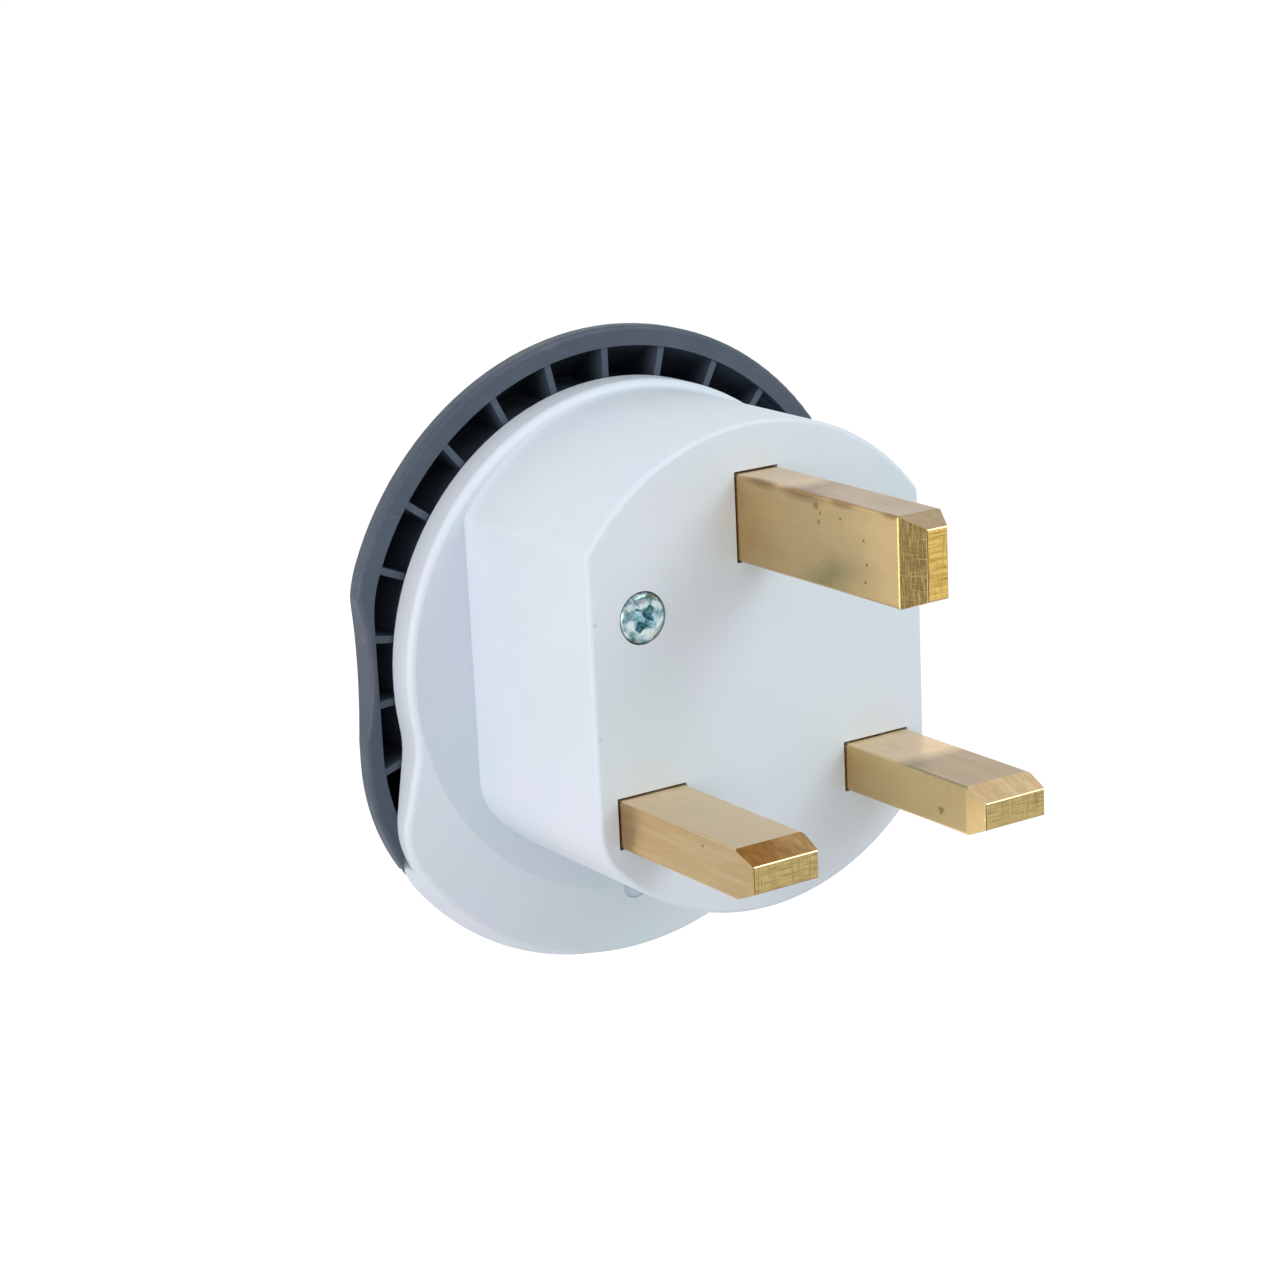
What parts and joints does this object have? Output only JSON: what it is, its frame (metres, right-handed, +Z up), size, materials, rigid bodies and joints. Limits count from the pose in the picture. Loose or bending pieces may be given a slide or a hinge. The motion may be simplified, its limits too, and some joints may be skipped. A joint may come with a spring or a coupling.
{
  "type": "plug adapter",
  "caption": "Plug adapter with a white pin block carrying rectangular brass pins, a lobed flange and a dark ribbed cover with a flat socket face behind it.",
  "frame": {"origin": "on the pin face, midway between the centres of the two lower pins", "axes": "+Z up towards the earth pin as plugged in, -Y the way the pins point, +Y out of the socket face, +X to the right seen from the pins"},
  "size_m": [0.0498, 0.0506, 0.0549],
  "materials": {
    "white_shell": "satin",
    "grey_cover": "satin",
    "pin_brass": "drawn, lightly scratched",
    "contact_brass": "rolled strip",
    "plated_screw": "bright zinc",
    "carrier_plastic": "matte",
    "fuse_ceramic": "glazed",
    "fuse_cap": "nickel plated"
  },
  "bodies": {
    "root": {"rear_shell": "white_shell", "front_cover": "grey_cover", "line_pin": "pin_brass", "neutral_pin": "pin_brass", "earth_pin": "pin_brass", "line_contact": "contact_brass", "neutral_contact": "contact_brass", "earth_contact": "contact_brass", "fuse_clip_lower": "contact_brass", "fuse_clip_upper": "contact_brass", "contact_rivet": "contact_brass", "cover_screws": "plated_screw", "contact_carrier": "carrier_plastic", "fuse_tube": "fuse_ceramic", "fuse_caps": "fuse_cap"}
  },
  "joints": []
}
